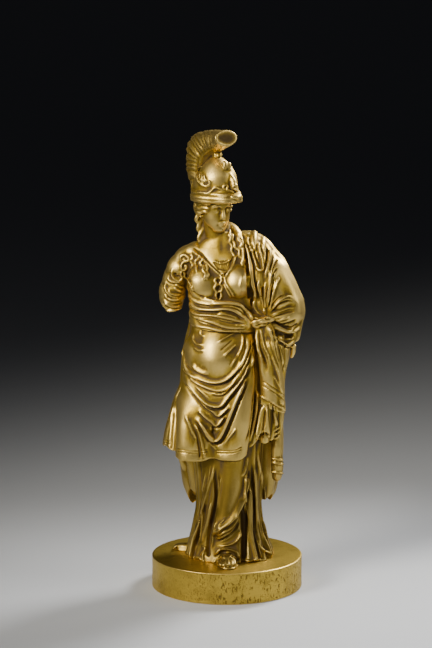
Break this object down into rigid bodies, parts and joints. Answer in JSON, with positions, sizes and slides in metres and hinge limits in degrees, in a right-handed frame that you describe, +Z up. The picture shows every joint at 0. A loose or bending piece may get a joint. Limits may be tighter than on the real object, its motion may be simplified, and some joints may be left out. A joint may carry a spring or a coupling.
{
  "type": "athena statue",
  "caption": "Gilt bronze statuette of a helmeted, draped goddess with a high plume, standing on a round disc plinth.",
  "frame": {"origin": "centre of the plinth's underside", "axes": "+Z up, -Y the way the figure's chest faces, +X to the figure's own left"},
  "size_m": [0.1057, 0.104, 0.317],
  "materials": {
    "figure": "gilt bronze, burnished on the high places and brown in the hollows",
    "plinth": "gilt bronze, scratched on top and pitted by tool marks round the side"
  },
  "bodies": {
    "root": {"figure": "figure", "plinth": "plinth"}
  },
  "joints": []
}
